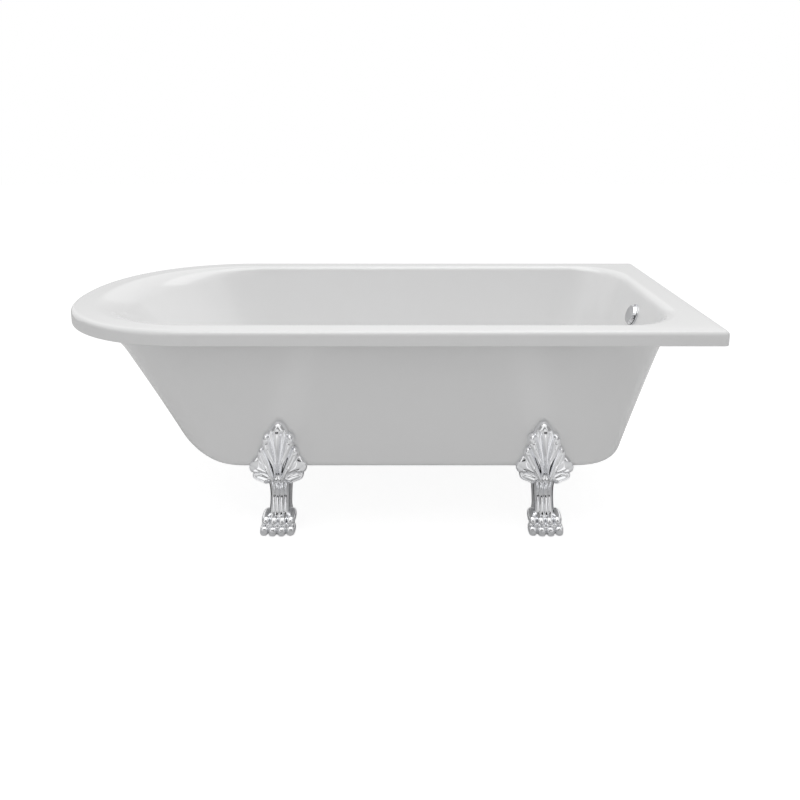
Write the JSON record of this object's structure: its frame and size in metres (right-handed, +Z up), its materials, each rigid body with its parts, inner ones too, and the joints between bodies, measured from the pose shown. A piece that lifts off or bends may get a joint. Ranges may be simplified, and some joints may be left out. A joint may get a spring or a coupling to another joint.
{
  "type": "clawfoot bathtub",
  "caption": "White freestanding roll-rim bath with one round sloped end and one square end, double skinned, on claw feet, with overflow knob and pop-up waste.",
  "frame": {"origin": "on the floor, under the middle of the rim's bounding rectangle", "axes": "+X towards the square (tap) end, +Y towards the wall side, +Z up"},
  "size_m": [1.6999, 0.75, 0.59],
  "materials": {
    "acrylic": "gloss white acrylic",
    "bonding_compound": "matt",
    "wood_board": "raw board",
    "foot_chrome": "polished chrome plate on a casting",
    "zinc_steel": "zinc plated",
    "pad_nylon": "matt",
    "seal_rubber": "matt",
    "chrome": "polished",
    "brass": "turned",
    "grey_plastic": "moulded",
    "hose_plastic": "moulded"
  },
  "bodies": {
    "bath": {"base_board": "wood_board", "bearer_head_end": "wood_board", "bearer_tap_end": "wood_board", "cable_sheath": "hose_plastic", "foot_front_head": "foot_chrome", "foot_front_tap": "foot_chrome", "foot_nuts": "zinc_steel", "foot_rear_head": "foot_chrome", "foot_rear_tap": "foot_chrome", "foot_studs": "zinc_steel", "foot_washers": "zinc_steel", "hose_nuts": "grey_plastic", "inner_tub": "acrylic", "outer_skin": "acrylic", "overflow_bezel": "chrome", "overflow_hose": "hose_plastic", "overflow_housing": "grey_plastic", "overflow_screws": "zinc_steel", "overflow_seal": "seal_rubber", "rim_bond": "bonding_compound", "waste_body": "grey_plastic", "waste_body_seal": "seal_rubber", "waste_flange": "chrome", "waste_flange_seal": "seal_rubber"},
    "knob": {"overflow_knob": "chrome", "knob_spindle": "brass", "cable_drum": "grey_plastic"},
    "plug": {"plug": "chrome", "plug_seal": "seal_rubber", "plug_stem": "brass", "lift_arm": "grey_plastic"},
    "leveller_front_head": {"levelling_screw_front_head": "zinc_steel", "levelling_pad_front_head": "pad_nylon"},
    "leveller_front_tap": {"levelling_screw_front_tap": "zinc_steel", "levelling_pad_front_tap": "pad_nylon"},
    "leveller_rear_head": {"levelling_screw_rear_head": "zinc_steel", "levelling_pad_rear_head": "pad_nylon"},
    "leveller_rear_tap": {"levelling_screw_rear_tap": "zinc_steel", "levelling_pad_rear_tap": "pad_nylon"}
  },
  "joints": [
    {"name": "knob_turn", "type": "hinge", "parent": "bath", "child": "knob", "pos_m": [0.74055, 0, 0.516], "axis": [-0.9455, 0, 0.3256], "range_deg": [0, 110]},
    {"name": "plug_lift", "type": "slide", "parent": "bath", "child": "plug", "axis": [0, 0, 1], "range_m": [0, 0.011]},
    {"name": "levelling_front_head", "type": "slide", "parent": "bath", "child": "leveller_front_head", "axis": [0, 0, -1], "range_m": [0, 0.012]},
    {"name": "levelling_front_tap", "type": "slide", "parent": "bath", "child": "leveller_front_tap", "axis": [0, 0, -1], "range_m": [0, 0.012]},
    {"name": "levelling_rear_head", "type": "slide", "parent": "bath", "child": "leveller_rear_head", "axis": [0, 0, -1], "range_m": [0, 0.012]},
    {"name": "levelling_rear_tap", "type": "slide", "parent": "bath", "child": "leveller_rear_tap", "axis": [0, 0, -1], "range_m": [0, 0.012]}
  ],
  "couplings": [
    {"joint": "plug_lift", "follows": "knob_turn", "m_per_rad": 0.0057296}
  ]
}
